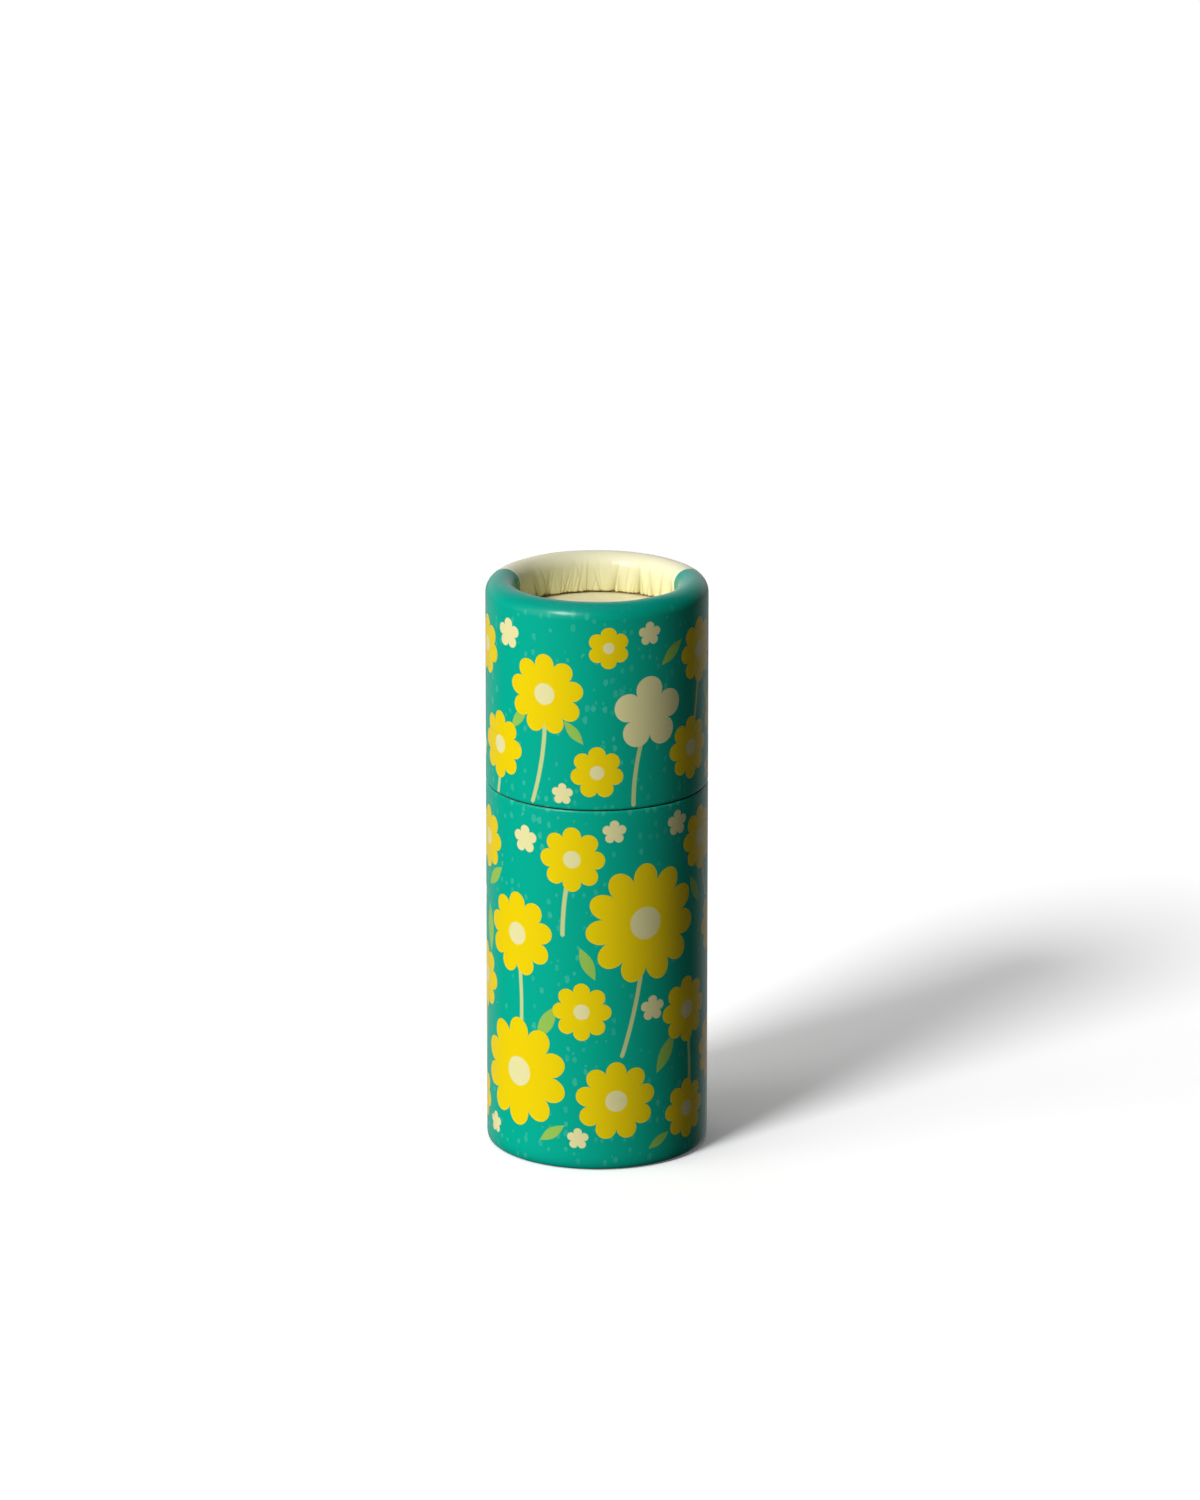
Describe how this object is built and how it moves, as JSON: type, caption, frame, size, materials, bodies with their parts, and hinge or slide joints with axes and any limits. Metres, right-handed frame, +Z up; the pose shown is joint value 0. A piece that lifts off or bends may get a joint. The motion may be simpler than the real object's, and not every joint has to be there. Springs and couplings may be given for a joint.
{
  "type": "push-up lip balm in a paper tube",
  "caption": "Round paper-tube lip balm with a lift-off cap, rolled rims, a printed wrap and a stick pushed up from below.",
  "frame": {"origin": "centre of the foot, on the surface that the tube stands on", "axes": "+Z up along the tube's axis, towards the cap; -Y towards the front of the print; +X to the right of that front"},
  "size_m": [0.025, 0.025, 0.066],
  "materials": {
    "rolled_board": "matte",
    "wrap_paper": "satin",
    "print_teal": "satin",
    "print_yellow": "satin",
    "print_pale": "satin",
    "print_leaf": "satin",
    "greaseproof": "satin",
    "disc_paper": "matte",
    "wax_balm": "satin"
  },
  "bodies": {
    "base": {"base_tube": "rolled_board", "base_wrap": "wrap_paper", "neck_tube": "rolled_board", "neck_liner": "greaseproof", "base_print_ground": "print_teal", "base_print_blossoms": "print_yellow", "base_print_pale": "print_pale", "base_print_leaves": "print_leaf"},
    "push_up": {"push_disc": "disc_paper", "facing_disc": "greaseproof", "balm": "wax_balm"},
    "cap": {"cap_tube": "rolled_board", "cap_wrap": "wrap_paper", "cap_disc": "disc_paper", "cap_print_ground": "print_teal", "cap_print_blossoms": "print_yellow", "cap_print_pale": "print_pale", "cap_print_leaves": "print_leaf"}
  },
  "joints": [
    {"name": "balm_push", "type": "slide", "parent": "base", "child": "push_up", "axis": [0, 0, 1], "range_m": [0, 0.05]},
    {"name": "cap_lift", "type": "slide", "parent": "push_up", "child": "cap", "axis": [0, 0, 1], "range_m": [0, 0.03]}
  ]
}
